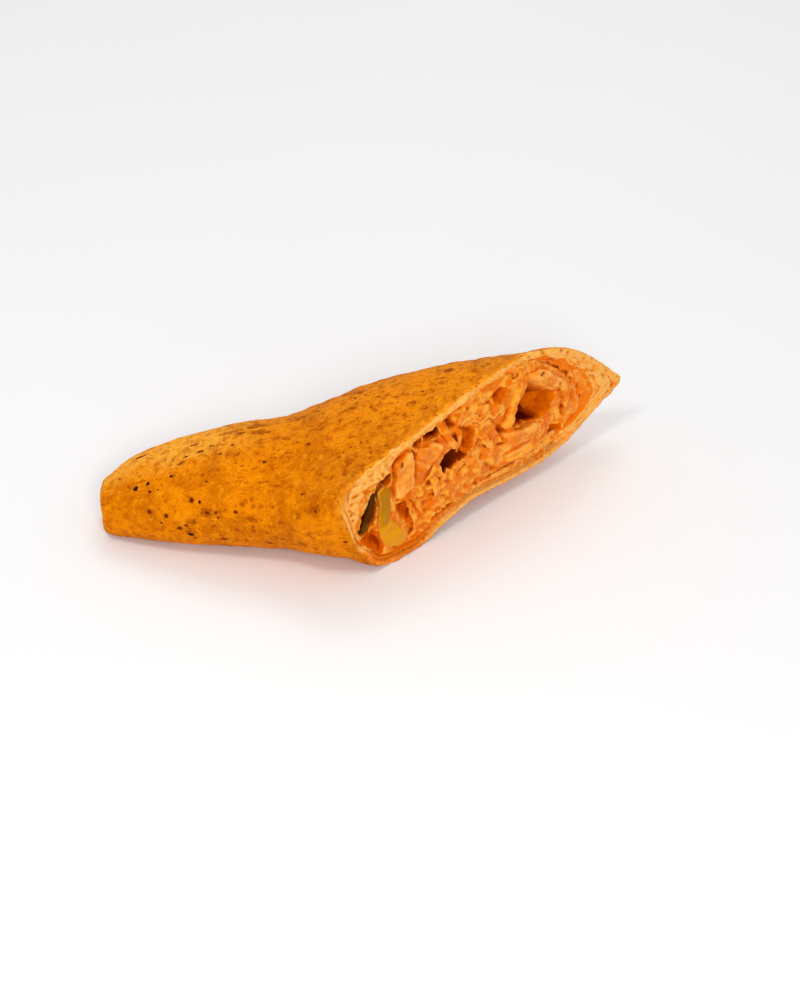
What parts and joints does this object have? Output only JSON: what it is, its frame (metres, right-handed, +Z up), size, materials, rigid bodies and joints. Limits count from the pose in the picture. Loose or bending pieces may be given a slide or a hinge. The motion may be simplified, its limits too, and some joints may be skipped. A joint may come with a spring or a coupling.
{
  "type": "chicken wrap half",
  "caption": "Half of a toasted chicken wrap, cut on a slant: a rolled tortilla with a folded end, filled with torn chicken in sauce and pickle.",
  "frame": {"origin": "middle of the wrap's box, on the surface that it lies on", "axes": "+X along the wrap, from the folded end to the slanted cut; +Y from the near side to the far side; +Z up"},
  "size_m": [0.1422, 0.0698, 0.045],
  "materials": {
    "tortilla": "matt, toasted",
    "filling": "moist, sauced",
    "chicken": "moist, fibrous",
    "pickle": "wet",
    "pickle_skin": "wet"
  },
  "bodies": {
    "root": {"tortilla": "tortilla", "filling": "filling", "chicken_chunk": "chicken", "chicken_strip": "chicken", "chicken_slab": "chicken", "chicken_wedge": "chicken", "chicken_slice": "chicken", "pickle_slice": "pickle", "pickle_strip": "pickle_skin"}
  },
  "joints": []
}
